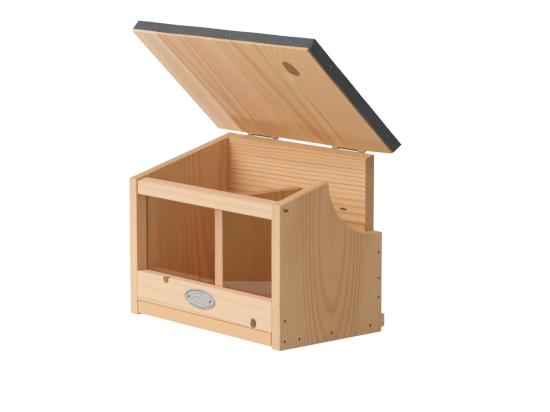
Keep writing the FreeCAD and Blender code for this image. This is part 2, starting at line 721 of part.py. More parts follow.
def make_hinges():
    box_face = f"{REAR} + Sizes.hinge_leaf"
    lid_face = f"{LID_BACK} + Sizes.hinge_leaf"
    box_screws = []
    lid_screws = []
    for side, sign in (("left", "-"), ("right", "")):
        middle = f"{sign}Sizes.hinge_reach + Sizes.hinge_shift"
        put(make_leaf(f"hinge_{side}_box_leaf", for_lid=False), middle, PIVOT_Y, PIVOT_Z)
        on_lid(make_leaf(f"hinge_{side}_lid_leaf", for_lid=True), middle)
        make_pin(f"hinge_{side}_pin", middle)
        for end, way in (("outer", "-"), ("inner", "+")):
            x = f"{middle} {way} Sizes.screw_reach"
            z = f"{PIVOT_Z} - Sizes.box_screw_drop"
            box_screws.append(make_screw(f"box_screw_{side}_{end}", x, box_face, z))
            z = "Sizes.lid_screw_rise"
            lid_screws.append(make_screw(f"lid_screw_{side}_{end}", x, lid_face, z))
    group("hinge_screws_box", box_screws)
    on_lid(group("hinge_screws_lid", lid_screws))


# The whole box

make_side_panel("side_panel_left", right=False)
make_side_panel("side_panel_right", right=True)
make_back_board()
make_floor_board()
make_front_apron()
make_front_rail()
make_divider()
make_window_pane()
make_battens()
make_panel_nails("panel_nails_left", right=False)
make_panel_nails("panel_nails_right", right=True)
make_divider_nails()
make_batten_nails()
make_staples()
make_badge()
make_lid_board("lid_board_left", f"-({LID_HALF})", "Sizes.lid_joint_left")
make_lid_board("lid_board_middle", "Sizes.lid_joint_left", "Sizes.lid_joint_right")
make_lid_board("lid_board_right", "Sizes.lid_joint_right", BOARDS_RIGHT, trimmed=True)
make_roof_sheet()
make_tacks()
make_hinges()
doc.recompute()

PARTS = [
    "side_panel_left", "side_panel_right", "back_board", "floor_board", "front_apron", "front_rail",
    "divider_board", "window_pane", "rear_batten_lower", "rear_batten_upper", "panel_nails_left",
    "panel_nails_right", "divider_nails", "batten_nails", "batten_staples", "badge_plate", "badge_pins",
    "lid_board_left", "lid_board_middle", "lid_board_right", "roof_sheet", "roof_tacks_front",
    "roof_tacks_left", "roof_tacks_right", "hinge_left_box_leaf", "hinge_right_box_leaf",
    "hinge_left_lid_leaf", "hinge_right_lid_leaf", "hinge_left_pin", "hinge_right_pin",
    "hinge_screws_box", "hinge_screws_lid",
]

for item in doc.Objects:
    if "Invalid" in item.State or "Error" in item.State:
        raise RuntimeError(f"{item.Label}: {item.State}")

os.makedirs("parts", exist_ok=True)
for label in PARTS:
    shape = doc.getObjectsByLabel(label)[0].Shape
    if shape.isNull() or not shape.isValid():
        raise RuntimeError(f"{label}: no valid shape")
    shape.exportStep(f"parts/{label}.step")
    box = shape.BoundBox
    print(
        f"{label}: {len(shape.Solids)} solid(s), {shape.Volume / 1000:.2f} cm3, "
        f"X {box.XMin:.1f} to {box.XMax:.1f}, Y {box.YMin:.1f} to {box.YMax:.1f}, "
        f"Z {box.ZMin:.1f} to {box.ZMax:.1f}"
    )
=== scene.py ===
# %% [markdown]
# # A feeding box of pine, with a lid that stands open
# This lesson dresses a finished construction model: a small pine box with a clear window, and a lid
# covered with folded sheet metal. The construction model already has every board, nail and hinge in
# its place, so the lesson is mostly about finishes, and about the few pieces whose shape is softer
# than a construction model shows: the folded sheet, the eased lid boards and the oval plate.

import json
from math import cos, exp, pi, radians, sin

import bpy
from mathutils import Euler, Matrix, Vector

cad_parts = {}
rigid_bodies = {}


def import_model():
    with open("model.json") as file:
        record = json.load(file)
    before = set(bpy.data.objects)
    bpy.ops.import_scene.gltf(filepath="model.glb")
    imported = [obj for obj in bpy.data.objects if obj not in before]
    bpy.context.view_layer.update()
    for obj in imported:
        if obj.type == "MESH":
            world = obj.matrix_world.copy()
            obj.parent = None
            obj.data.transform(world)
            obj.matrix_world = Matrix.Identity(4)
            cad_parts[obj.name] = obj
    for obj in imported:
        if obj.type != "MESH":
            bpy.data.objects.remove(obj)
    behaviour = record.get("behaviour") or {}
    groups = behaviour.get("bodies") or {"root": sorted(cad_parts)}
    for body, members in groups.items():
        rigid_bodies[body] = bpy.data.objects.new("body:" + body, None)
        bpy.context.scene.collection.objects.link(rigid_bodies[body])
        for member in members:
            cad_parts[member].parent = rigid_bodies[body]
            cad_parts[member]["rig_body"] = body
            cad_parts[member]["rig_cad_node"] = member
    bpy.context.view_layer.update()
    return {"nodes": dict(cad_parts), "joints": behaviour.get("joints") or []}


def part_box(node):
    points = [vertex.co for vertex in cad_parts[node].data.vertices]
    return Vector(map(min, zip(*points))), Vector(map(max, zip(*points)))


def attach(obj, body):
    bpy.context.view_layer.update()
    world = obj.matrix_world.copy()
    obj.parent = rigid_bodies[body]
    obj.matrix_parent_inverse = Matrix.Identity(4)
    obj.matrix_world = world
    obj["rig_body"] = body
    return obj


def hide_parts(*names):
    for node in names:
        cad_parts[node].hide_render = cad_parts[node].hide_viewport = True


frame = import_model()
nodes = frame["nodes"]

# %% [markdown]
# ## Helpers
# A colour is written as the hex value that a picture editor shows, and one function turns it to the
# linear numbers that a shader works with. One more function adds a shader node, sets it up and links
# it. A few short ones select faces or edges by their place, because an operator acts on whatever is
# selected, and the loaded model is selected all over.

# %% Helpers for units, colours and nodes
MM = 0.001


def mm(*values):
    """Millimetres to metres, as one number or as a point."""
    return values[0] * MM if len(values) == 1 else Vector(values) * MM


def linear(colour):
    """An sRGB hex colour as linear red, green, blue and alpha."""
    parts = [int(colour[place:place + 2], 16) / 255 for place in (0, 2, 4)]
    return [part / 12.92 if part <= 0.04045 else ((part + 0.055) / 1.055) ** 2.4 for part in parts] + [1.0]


def add(tree, kind, inputs=None, **settings):
    """Adds a node, sets it up, and fills its inputs with values or links them to other nodes."""
    made = tree.nodes.new("ShaderNode" + kind)
    for name, value in settings.items():
        setattr(made, name, value)
    for socket, value in (inputs or {}).items():
        if isinstance(value, bpy.types.Node):
            value = value.outputs[0]
        if isinstance(value, bpy.types.NodeSocket):
            tree.links.new(value, made.inputs[socket])
        else:
            made.inputs[socket].default_value = value
    return made


def new_material(name):
    """An empty material: its node tree and its output node."""
    material = bpy.data.materials.new(name)
    material.use_nodes = True
    material.node_tree.nodes.clear()
    return material, material.node_tree, add(material.node_tree, "OutputMaterial")


def give(material, *pieces):
    """Puts one material on pieces, in place of what they had."""
    for piece in pieces:
        piece.data.materials.clear()
        piece.data.materials.append(material)
    print(material.name, "on", ", ".join(piece.name for piece in pieces))


# %% Helpers for modelling
def deselect_all():
    """Leaves nothing selected, so that the next operator acts only on what it makes."""
    bpy.ops.object.select_all(action="DESELECT")


def edit(piece):
    """Opens a piece in edit mode with nothing in it selected."""
    deselect_all()
    bpy.context.view_layer.objects.active = piece
    piece.select_set(True)
    bpy.ops.object.mode_set(mode="EDIT")
    bpy.ops.mesh.select_all(action="DESELECT")


def pick(piece, kind, wanted):
    """Selects the faces, edges or vertices of the piece in edit mode whose middle is wanted."""
    bpy.ops.object.mode_set(mode="OBJECT")
    mesh = piece.data
    for group in (mesh.vertices, mesh.edges, mesh.polygons):
        group.foreach_set("select", [False] * len(group))
    if kind == "FACE":
        for face in mesh.polygons:
            face.select = wanted(face.center, face.normal)
    if kind == "EDGE":
        for edge in mesh.edges:
            ends = [mesh.vertices[index].co for index in edge.vertices]
            edge.select = wanted((ends[0] + ends[1]) / 2, ends[1] - ends[0])
    if kind == "VERT":
        for vertex in mesh.vertices:
            vertex.select = wanted(vertex.co, vertex.normal)
    bpy.ops.object.mode_set(mode="EDIT")
    bpy.ops.mesh.select_mode(type=kind)


def done(piece, name, body, slot, *replaced):
    """Leaves edit mode, puts the piece's place into its mesh, and lets it ride on its body."""
    if bpy.context.mode != "OBJECT":
        bpy.ops.object.mode_set(mode="OBJECT")
    deselect_all()
    piece.select_set(True)
    bpy.context.view_layer.objects.active = piece
    bpy.ops.object.transform_apply(location=True, rotation=True, scale=True)
    piece.name = piece.data.name = name
    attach(piece, body)
    if replaced:
        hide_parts(*replaced)
    print(name, "has", len(piece.data.polygons), "faces")
    return piece


def apply_modifier(piece, kind, **settings):
    """Adds one modifier, sets it up and applies it."""
    if bpy.context.mode != "OBJECT":
        bpy.ops.object.mode_set(mode="OBJECT")
    bpy.context.view_layer.objects.active = piece
    modifier = piece.modifiers.new(kind.lower(), kind)
    for name, value in settings.items():
        setattr(modifier, name, value)
    bpy.ops.object.modifier_apply(modifier=modifier.name)


# %% [markdown]
# ## Camera
# The photograph was taken from the front right with a long lens, a little above the box. The camera's
# place and lens were found by fitting the corners of the model to the corners in the photograph, so
# they are plain values here.

# %% Camera
CAMERA_PLACE = (1.875016, -1.602376, 0.532918)
CAMERA_LENS = 152.896
SENSOR_WIDTH = 36.0
CAMERA_AROUND = radians(49.0626)
CAMERA_DOWN = radians(9.366)

camera_data = bpy.data.cameras.new("camera")
camera_data.lens = CAMERA_LENS
camera_data.sensor_width = SENSOR_WIDTH
camera = bpy.data.objects.new("camera", camera_data)
bpy.context.scene.collection.objects.link(camera)
camera.location = CAMERA_PLACE
camera.rotation_euler = (pi / 2 - CAMERA_DOWN, 0, CAMERA_AROUND)
bpy.context.scene.camera = camera
print("camera stands", round(Vector(CAMERA_PLACE).length, 3), "m away")

# %% [markdown]
# ## Light and floor
# A product photograph is lit by big soft lamps. The front of the box is the brightest side here and
# the notched side is much darker, so the main soft box stands in front and to the left, with a weak
# one above it for the edges that face up. The rest comes from a dim even surround and from light that
# a table bounces up to the underside of the lid.
# The paper that the camera sees is nearly white. It would bounce far more light than the photograph
# shows, so a dim table that the camera can't see does the bouncing, and the paper is kept out of it.

# %% Studio
PAPER_GLOW = 0.93
PAPER_WHITE = 0.5
TABLE_GREY = 0.42
ROOM_RADIUS = 25.0
SURROUND = 0.34
SURROUND_TINT = (0.96, 1.0, 0.96, 1)


def stage_material(name, grey, glow, glow_colour=(1, 1, 1, 1)):
    """A matt grey or white finish for the studio, with some light of its own."""
    material, tree, output = new_material(name)
    matt = add(tree, "BsdfPrincipled", {
        "Base Color": (grey, grey, grey, 1), "Roughness": 1.0, "Specular IOR Level": 0.0,
        "Emission Color": glow_colour, "Emission Strength": glow})
    tree.links.new(matt.outputs[0], output.inputs["Surface"])
    return material


def stage_plane(name, size, place, material, **seen_by):
    """A flat piece of the studio, and which kinds of ray see it."""
    deselect_all()
    bpy.ops.mesh.primitive_plane_add(size=size, location=place)
    plane = bpy.context.object
    plane.name = name
    plane.data.materials.append(material)
    for ray, seen in seen_by.items():
        setattr(plane, "visible_" + ray, seen)
    return plane


paper = stage_plane("paper_floor", 40, (0, 0, 0), stage_material("matt_paper", PAPER_WHITE, PAPER_GLOW),
                    diffuse=False, shadow=False, glossy=False)
table = stage_plane("bouncing_table", 12, (0, 0, mm(-1)), stage_material("grey_table", TABLE_GREY, 0.0),
                    camera=False, glossy=False, transmission=False)

# Only reflections see these two: the paper ends 0.31 m in front of the box, where the dark studio
# starts.
PAPER_EDGE = 0.313
PAPER_EDGE_AROUND = radians(129.7)
MIRROR_PAPER, MIRROR_GLOW, MIRROR_DROP = 3.0, 0.36, mm(-2)
MIRROR_WARMTH = (1, 0.88, 0.78, 1)
towards_edge = Vector((sin(-PAPER_EDGE_AROUND), cos(PAPER_EDGE_AROUND), 0))
for name, offset, glow in (
        ("mirrored_paper", PAPER_EDGE - MIRROR_PAPER / 2, MIRROR_GLOW),
        ("mirrored_dark", PAPER_EDGE + MIRROR_PAPER / 2, 0.0)):
    mirrored = stage_plane(name, MIRROR_PAPER, towards_edge * offset + Vector((0, 0, MIRROR_DROP)),
                           stage_material("reflected_" + name, 0.0, glow, MIRROR_WARMTH),
                           camera=False, diffuse=False, transmission=False, shadow=False)
    mirrored.rotation_euler.z = PAPER_EDGE_AROUND

deselect_all()
bpy.ops.mesh.primitive_uv_sphere_add(segments=48, ring_count=24, radius=ROOM_RADIUS)
room = bpy.context.object
room.name = "white_room"
room.data.materials.append(stage_material("white_wall", 0.0, 1.0))
for ray in ("diffuse", "glossy", "transmission", "shadow", "volume_scatter"):
    setattr(room, "visible_" + ray, False)

world = bpy.data.worlds.new("surround")
bpy.context.scene.world = world
world.use_nodes = True
world.node_tree.nodes["Background"].inputs["Color"].default_value = SURROUND_TINT
world.node_tree.nodes["Background"].inputs["Strength"].default_value = SURROUND


def soft_box(name, place, target, size, power):
    """A square lamp that points at the target."""
    lamp = bpy.data.lights.new(name, "AREA")
    lamp.size = size
    lamp.energy = power
    holder = bpy.data.objects.new(name, lamp)
    bpy.context.scene.collection.objects.link(holder)
    holder.location = place
    holder.rotation_euler = (Vector(target) - Vector(place)).to_track_quat("-Z", "Y").to_euler()
    return holder


BOX_MIDDLE = (0, 0, 0.15)
soft_box("main_soft_box", (-0.88, -2.1, 0.88), BOX_MIDDLE, size=1.4, power=35.5)
soft_box("high_soft_box", (-0.7, -1.45, 1.9), BOX_MIDDLE, size=1.2, power=5.0)

# A net in front of the box holds back part of that lamp's light where it would reach under the lid.
NET_HOLDS = 0.62
NET_MIDDLE, NET_WIDE, NET_TALL = (-0.13, -0.25, 0.272), 0.56, 0.085
net_material, tree, output = new_material("black_net")
threads = add(tree, "BsdfPrincipled", {
    "Base Color": (0, 0, 0, 1), "Roughness": 1.0, "Specular IOR Level": 0.0})
holes = add(tree, "BsdfTransparent")
woven = add(tree, "MixShader", {0: NET_HOLDS, 1: holes, 2: threads})
tree.links.new(woven.outputs[0], output.inputs["Surface"])
net = stage_plane("net_flag", 1.0, NET_MIDDLE, net_material, camera=False, glossy=False, transmission=False)
net.rotation_euler.x = pi / 2
net.scale = (NET_WIDE, NET_TALL, 1)

# %% [markdown]
# A camera doesn't record light in a straight line: it lifts the dim parts and rolls off gently towards
# white, which also makes bright wood look paler and wood in shade look richer. The film curve below
# does the same, as 1 - exp(-k x), scaled so that 1 stays 1.

# %% Film curve
FILM_SPEED = 2.6
view = bpy.context.scene.view_settings
view.view_transform = "Standard"
view.use_curve_mapping = True
film = view.curve_mapping.curves[3]
for step in (0.05, 0.12, 0.22, 0.35, 0.5, 0.75):
    film.points.new(step, (1 - exp(-FILM_SPEED * step)) / (1 - exp(-FILM_SPEED)))
view.curve_mapping.update()
print("film curve has", len(film.points), "points")

# %% [markdown]
# ## Pine
# Pine shows its growth rings: wide pale early wood and a narrow darker line of late wood for each
# year. A board is a slice of a round log, so the finish is made as a log too: each board knows where
# the log's middle, the pith, lies and which way it runs, and the rings are cylinders about it. Then
# the face, the edges and the end of a board show rings that meet at the corners, as in real wood.
# A pith that leans towards the face gives the pointed arches that a flat-sawn board has, and a pith
# that is bowed gives one tall rounded arch.

# %% The log that a board was sawn from
SWAY_WIDTH, SWAY_LENGTH = 38.0, 170.0


def log_in_board(tree, place, pith, turn, bow):
    """Places in the log, in mm, with the pith along its own Z. A bowed log's pith comes nearest to
    the board's face at the height where that Z is 0."""
    log = add(tree, "Mapping", {
        "Vector": place.outputs["Object"], "Location": mm(*pith), "Scale": (MM, MM, MM),
        "Rotation": [radians(angle) for angle in turn]}, vector_type="TEXTURE")
    if bow:
        parts = add(tree, "SeparateXYZ", {0: log})
        curve = add(tree, "Math", {0: parts.outputs["Z"], 1: 2.0}, operation="POWER")
        curve = add(tree, "Math", {0: curve, 1: bow, 2: parts.outputs["X"]}, operation="MULTIPLY_ADD")
        log = add(tree, "CombineXYZ", {0: curve, 1: parts.outputs["Y"], 2: parts.outputs["Z"]})
    return log


def distance_from_pith(tree, log, sway, seed):
    """Distance from the pith in mm, in a log whose rings sway slowly from side to side."""
    slow = add(tree, "Mapping", {
        "Vector": log, "Location": (seed, seed * 0.7, seed * 0.3),
        "Scale": (1 / SWAY_WIDTH, 1 / SWAY_WIDTH, 1 / SWAY_LENGTH)})
    drift = add(tree, "TexNoise", {"Vector": slow, "Scale": 1.0, "Detail": 2.0})
    shift = add(tree, "VectorMath", {
        0: drift.outputs["Color"], 1: (2 * sway, 2 * sway, 0), 2: (-sway, -sway, 0)},
        operation="MULTIPLY_ADD")
    bent = add(tree, "VectorMath", {0: log, 1: shift}, operation="ADD")
    across = add(tree, "VectorMath", {0: bent, 1: (1, 1, 0)}, operation="MULTIPLY")
    return add(tree, "VectorMath", {0: across}, operation="LENGTH").outputs["Value"]


# %% [markdown]
# ### Knots
# A knot is a branch that runs out from the pith. The rings swell around it, it has rings of its own,
# and a dark bark rim parts it from the board. Each knot is a short log laid across the big one, so
# its shape comes first, because the board's rings need it, and its colours come last.

# %% Knots: their shape and their colours
KNOT_WOBBLE = 0.5


def branches_through(tree, place, radius, knots):
    """The distance from the pith with the knots' swelling added, and for each knot how far a point
    lies from the branch's middle, in branch radii."""
    branches = []
    for knot in knots:
        branch = add(tree, "Mapping", {
            "Vector": place.outputs["Object"], "Location": mm(*knot["at"]), "Scale": mm(*knot["size"], 1),
            "Rotation": [radians(angle) for angle in knot["turn"]]}, vector_type="TEXTURE")
        rough = add(tree, "TexNoise", {"Vector": branch, "Scale": 1.6, "Detail": 2.0})
        wobble = add(tree, "VectorMath", {
            0: rough.outputs["Color"], 1: (KNOT_WOBBLE, KNOT_WOBBLE, 0),
            2: (-KNOT_WOBBLE / 2, -KNOT_WOBBLE / 2, 0)}, operation="MULTIPLY_ADD")
        near = add(tree, "VectorMath", {0: branch, 1: wobble}, operation="ADD")
        section = add(tree, "VectorMath", {0: near, 1: (1, 1, 0)}, operation="MULTIPLY")
        away = add(tree, "VectorMath", {0: section}, operation="LENGTH").outputs["Value"]
        swell = add(tree, "MapRange", {
            "Value": away, "From Min": 0.6, "From Max": knot["reach"], "To Min": knot["swell"],
            "To Max": 0.0}, interpolation_type="SMOOTHERSTEP")
        radius = add(tree, "Math", {0: radius, 1: swell}, operation="ADD")
        branches.append((knot, away))
    return radius, branches


def colour_knot(tree, wood, knot, away):
    """The wood with one knot in it: a halo in the board, the branch's rings and its bark rim."""
    ring = add(tree, "Math", {0: away, 1: knot["rings"]}, operation="MULTIPLY")
    ring = add(tree, "Math", {0: ring}, operation="FRACT")
    core = add(tree, "Mix", {0: ring, 6: linear(knot["core"]), 7: linear(knot["rim"])}, data_type="RGBA")
    inside = add(tree, "MapRange", {"Value": away, "From Min": 1.02, "From Max": 0.9},
                 interpolation_type="SMOOTHSTEP")
    halo = add(tree, "MapRange", {"Value": away, "From Min": 1.9, "From Max": 0.95, "To Max": 0.55},
               interpolation_type="SMOOTHSTEP")
    wood = add(tree, "Mix", {0: halo, 6: wood.outputs[2], 7: linear(knot["halo"])}, data_type="RGBA")
    wood = add(tree, "Mix", {0: inside, 6: wood.outputs[2], 7: core.outputs[2]}, data_type="RGBA")
    bark = add(tree, "MapRange", {"Value": away, "From Min": 0.82, "From Max": 0.97, "To Max": 0.85},
               interpolation_type="SMOOTHSTEP")
    bark = add(tree, "Math", {0: bark, 1: inside}, operation="MULTIPLY")
    return add(tree, "Mix", {0: bark, 6: wood.outputs[2], 7: linear(knot["rim"])}, data_type="RGBA")


# %% [markdown]
# ### One year's wood
# A tree adds about the same area of wood each year, so the ring number grows with the square of the
# radius. Within a year the wood is pale for more than half of the ring, darkens to the late wood and
# stops sharply where the winter came. Some years grow stronger lines than others.

# %% Early and late wood
SEASON_START, SEASON_END = 0.55, 0.75
SEASON = ((0.07, 0.08), (0.4, 0.0), (0.62, 0.16), (0.8, 0.6), (0.9, 1.0), (0.96, 1.0))
WEAKEST_YEAR = 0.45


def late_wood_share(tree, radius, ring_area, start, seed, fade, line):
    """How much late wood shows at a point, from 0 to line."""
    square = add(tree, "Math", {0: radius, 1: 2.0}, operation="POWER")
    age = add(tree, "Math", {0: square, 1: 1 / (2 * ring_area), 2: start}, operation="MULTIPLY_ADD")
    year = add(tree, "Math", {0: age}, operation="FLOOR")
    season = add(tree, "Math", {0: age}, operation="FRACT")
    lottery = add(tree, "Math", {0: year, 1: seed + 0.37}, operation="ADD")
    luck = add(tree, "TexWhiteNoise", {"W": lottery}, noise_dimensions="1D")
    vigour = add(tree, "MapRange", {"Value": luck, "To Min": WEAKEST_YEAR, "To Max": 1.0})
    growth = add(tree, "ValToRGB", {0: season})
    stops = growth.color_ramp.elements
    stops[0].position, stops[0].color = 0.0, (SEASON_START, SEASON_START, SEASON_START, 1)
    stops[1].position, stops[1].color = 1.0, (SEASON_END, SEASON_END, SEASON_END, 1)
    for position, shade in SEASON:
        stops.new(position).color = (shade, shade, shade, 1)
    late_wood = add(tree, "Math", {0: growth, 1: vigour}, operation="MULTIPLY")
    if fade:
        calm = add(tree, "MapRange", {
            "Value": radius, "From Min": fade[0], "From Max": fade[1], "To Min": 1.0, "To Max": fade[2]},
            interpolation_type="SMOOTHSTEP")
        late_wood = add(tree, "Math", {0: late_wood, 1: calm}, operation="MULTIPLY")
    return add(tree, "Math", {0: late_wood, 1: line}, operation="MULTIPLY")


# %% [markdown]
# ### Tone, fibres, end grain, stains and painted light
# A board's tone changes slowly along it, some streaks rosier and some a little greener. Over that lies
# the fine streaking of the fibres. The end of a board drinks in light, and it is darker and browner.
# A stain is a soft-edged spot: dark rust round a nail, or a wash that only tints the wood. Some washes
# are painted shade, and a tint on the faces that look one way paints the light or shade that they get.

# %% Tone, fibres, end grain, stains and painted light
TONE_WIDTH, TONE_LENGTH = 22.0, 110.0
ROSY_TINT, OLIVE_TINT = (1.06, 0.90, 0.80, 1), (0.94, 0.98, 0.86, 1)
HEART_TINT = (0.80, 0.66, 0.56, 1)
END_TINT = (0.82, 0.82, 0.79, 1)
# Fibres are drawn 0.5 mm wide, because real ones are far too fine to show.
FIBRE_WIDTH, FIBRE_LENGTH = 0.5, 16.0
FACING_FROM, FACING_FULLY = 0.75, 0.95
STAIN_WOBBLE = 0.9


def slow_tones(tree, log, wood, seed, rosy, olive):
    """The wood with its slow changes of tone."""
    broad = add(tree, "Mapping", {
        "Vector": log, "Location": (seed + 7, seed, seed),
        "Scale": (1 / TONE_WIDTH, 1 / TONE_WIDTH, 1 / TONE_LENGTH)})
    tone = add(tree, "TexNoise", {"Vector": broad, "Scale": 1.0, "Detail": 3.0})
    for far, tint, amount in ((0.68, ROSY_TINT, rosy), (0.32, OLIVE_TINT, olive)):
        share = add(tree, "MapRange", {
            "Value": tone, "From Min": 0.5, "From Max": far, "To Min": 0.0, "To Max": amount})
        wood = add(tree, "Mix", {0: share, 6: wood.outputs[2], 7: tint}, data_type="RGBA",
                   blend_type="MULTIPLY")
    return wood


def tint_faces(tree, place, wood, direction, tint, both_ways=False):
    """The wood with a tint on the faces that look in a direction, or there and the opposite way. It gives
    end grain its own colour, and it paints light or shade on faces that look one way.
    """
    facing = add(tree, "VectorMath", {0: place.outputs["Normal"], 1: direction}, operation="DOT_PRODUCT")
    facing = facing.outputs["Value"]
    if both_ways:
        facing = add(tree, "Math", {0: facing}, operation="ABSOLUTE")
    share = add(tree, "MapRange", {"Value": facing, "From Min": FACING_FROM, "From Max": FACING_FULLY})
    return add(tree, "Mix", {0: share, 6: wood.outputs[2], 7: tint}, data_type="RGBA",
               blend_type="MULTIPLY")


def colour_stain_or_shade(tree, place, wood, stain_or_shade):
    """The wood with one soft-edged spot on it: a stain, and in some uses a wash of painted shade."""
    spot = add(tree, "Mapping", {
        "Vector": place.outputs["Object"], "Location": mm(*stain_or_shade["at"]), "Scale": mm(*stain_or_shade["size"]),
        "Rotation": [radians(angle) for angle in stain_or_shade.get("turn", (0, 0, 0))]}, vector_type="TEXTURE")
    rough = add(tree, "TexNoise", {"Vector": spot, "Scale": 1.7, "Detail": 3.0})
    wobble = add(tree, "VectorMath", {
        0: rough.outputs["Color"], 1: [STAIN_WOBBLE] * 3, 2: [-STAIN_WOBBLE / 2] * 3},
        operation="MULTIPLY_ADD")
    near = add(tree, "VectorMath", {0: spot, 1: wobble}, operation="ADD")
    away = add(tree, "VectorMath", {0: near}, operation="LENGTH").outputs["Value"]
    stain_or_shade_share = add(tree, "MapRange", {
        "Value": away, "From Min": 1.0, "From Max": 0.6, "To Max": stain_or_shade["strength"]},
        interpolation_type="SMOOTHSTEP")
    return add(tree, "Mix", {0: stain_or_shade_share, 6: wood.outputs[2], 7: linear(stain_or_shade["colour"])}, data_type="RGBA",
               blend_type=stain_or_shade.get("blend", "MIX"))


# %% [markdown]
# ### The finish itself
# The steps above follow one another: the log, its rings and knots, one year's wood, the tones, the
# fibres, the end grain and the painted light or shade on faces that look one way, then the stains and
# painted shades. Planed pine has a dull sheen, and the hard late wood is a little glossier and stands a
# little higher than the soft early wood.

# %% Pine
def pine(name, pith, turn, ring_area, early, late, line=0.8, sway=2.0, seed=0.0, knots=(), stains_and_shades=(),
         rosy=0.25, olive=0.2, start=0.0, fade=None, heart=None, bow=0.0, end_tint=END_TINT,
         painted_light_tint=None):
    """Planed, unvarnished pine. pith (mm) is a point on the log's middle, turn (degrees) brings the
    log upright, ring_area (mm2) is each year's wood over 2 pi, early and late are its two colours, and
    line is how strong the late wood shows. start is the first ring's age in years, fade is a radius
    where the lines are full, one where they are weaker, and how weak. heart is the radius (mm) of the
    darker wood round the pith and how dark it is, and bow (per mm) curves the log. painted_light_tint is a
    direction and a tint for the faces that look that way: it paints the light or shade that they get."""
    material, tree, output = new_material(name)
    place = add(tree, "TexCoord")
    log = log_in_board(tree, place, pith, turn, bow)
    radius, branches = branches_through(tree, place, distance_from_pith(tree, log, sway, seed), knots)
    shown = late_wood_share(tree, radius, ring_area, start, seed, fade, line)
    wood = add(tree, "Mix", {0: shown, 6: linear(early), 7: linear(late)}, data_type="RGBA")
    if heart:
        core = add(tree, "MapRange", {
            "Value": radius, "From Min": heart[0] + 1, "From Max": heart[0] - 1, "To Max": heart[1]},
            interpolation_type="SMOOTHSTEP")
        wood = add(tree, "Mix", {0: core, 6: wood.outputs[2], 7: HEART_TINT}, data_type="RGBA",
                   blend_type="MULTIPLY")
    wood = slow_tones(tree, log, wood, seed, rosy, olive)

    fine = add(tree, "Mapping", {
        "Vector": log, "Scale": (1 / FIBRE_WIDTH, 1 / FIBRE_WIDTH, 1 / FIBRE_LENGTH)})
    streak = add(tree, "TexNoise", {"Vector": fine, "Scale": 1.0, "Detail": 3.0, "Roughness": 0.6})
    fibre = add(tree, "MapRange", {
        "Value": streak, "From Min": 0.3, "From Max": 0.7, "To Min": 0.93, "To Max": 1.05})
    wood = add(tree, "Mix", {0: 1.0, 6: wood.outputs[2], 7: fibre.outputs[0]}, data_type="RGBA",
               blend_type="MULTIPLY")

    along_log = Euler([radians(angle) for angle in turn]).to_matrix() @ Vector((0, 0, 1))
    wood = tint_faces(tree, place, wood, along_log, end_tint, both_ways=True)
    if painted_light_tint:
        wood = tint_faces(tree, place, wood, *painted_light_tint)
    for knot, away in branches:
        wood = colour_knot(tree, wood, knot, away)
    for stain_or_shade in stains_and_shades:
        wood = colour_stain_or_shade(tree, place, wood, stain_or_shade)

    relief = add(tree, "Math", {0: shown, 1: 0.5, 2: streak}, operation="MULTIPLY_ADD")
    bump = add(tree, "Bump", {"Height": relief, "Strength": 0.35, "Distance": mm(0.15)})
    sheen = add(tree, "MapRange", {"Value": shown, "To Min": 0.62, "To Max": 0.5})
    surface = add(tree, "BsdfPrincipled", {
        "Base Color": wood.outputs[2], "Roughness": sheen, "Specular IOR Level": 0.35, "Normal": bump})
    tree.links.new(surface.outputs[0], output.inputs["Surface"])
    return material


ALONG_X = 90.0

# %% [markdown]
# ### The notched side
# This panel is flat-sawn. The pith comes nearest to its outer face, about 57 mm, two thirds of the way
# up and curves away from it below and above. So the rings show as one tall arch in the middle, with
# close straight lines at the edges. Rust from each nail has stained the wood round it, and a rosier
# tone fills the arch.

# %% Pine of the two side panels
NAIL_STAIN = {"size": (3.0, 1.5, 2.2), "colour": "6B4520", "strength": 0.7}
RIGHT_FACE = 125.0
NAIL_MARKS = (
    (-71.0, 30.4), (-71.2, 9.1), (-51.2, 9.1), (-6.8, 9.1), (48.2, 9.1), (60.0, 85.7), (60.0, 58.7),
    (60.0, 38.3))
right_stains = [dict(NAIL_STAIN, at=(RIGHT_FACE, y, z)) for y, z in NAIL_MARKS]
right_stains += [
    dict(at=(RIGHT_FACE, -8, 130), size=(12, 62, 170), colour="F5E6E2", strength=1.0, blend="MULTIPLY"),
    dict(at=(RIGHT_FACE, -71.6, 145.6), size=(3.0, 3.0, 1.7), colour="A9641C", strength=0.9),
    dict(at=(RIGHT_FACE, -68.4, 144.2), size=(3.0, 2.8, 1.9), colour="7B4510", strength=0.95)]
# The panel's front edge is painted a little darker and bluer: painted shade, as it gets less light than the
# other side's front edge. Its end grain on the top edges is paler and cooler than other end grain: partly
# sanded end grain, partly painted light from above.
pine_right = pine(
    "planed_pine_notched_side", pith=(67.95, -6.5, 126), turn=(0, 0, 0), bow=0.000348, ring_area=165,
    early="E2AB78", late="A4674A", line=0.68, sway=1.0, seed=3.1, stains_and_shades=right_stains, rosy=0.45, olive=0.5,
    start=0.045, fade=(59.5, 58.8, 0.2), end_tint=(0.95, 0.95, 1.03, 1),
    painted_light_tint=((0, -1, 0), (0.91, 0.9, 0.98, 1)))
give(pine_right, nodes["side_panel_right"])
# The inner face, which looks into the box, is painted darker and greener: painted shade for the light that
# reaches inside.
pine_left = pine(
    "planed_pine_full_side", pith=(-60, 30, 60), turn=(1.0, -1.5, 0), ring_area=230, early="E0A97F",
    late="A8693C", line=0.6, sway=2.5, seed=8.4, rosy=0.5, painted_light_tint=((1, 0, 0), (0.84, 0.96, 0.85, 1)))
give(pine_left, nodes["side_panel_left"])

# %% [markdown]
# ### The boards along the box
# The back board's rings run across it in many close lines. The board's right-hand end shows them as
# slanting arcs, so its pith lies in front of it and lower. The boards at the front are quieter and
# paler, and the apron has two small dark knots.

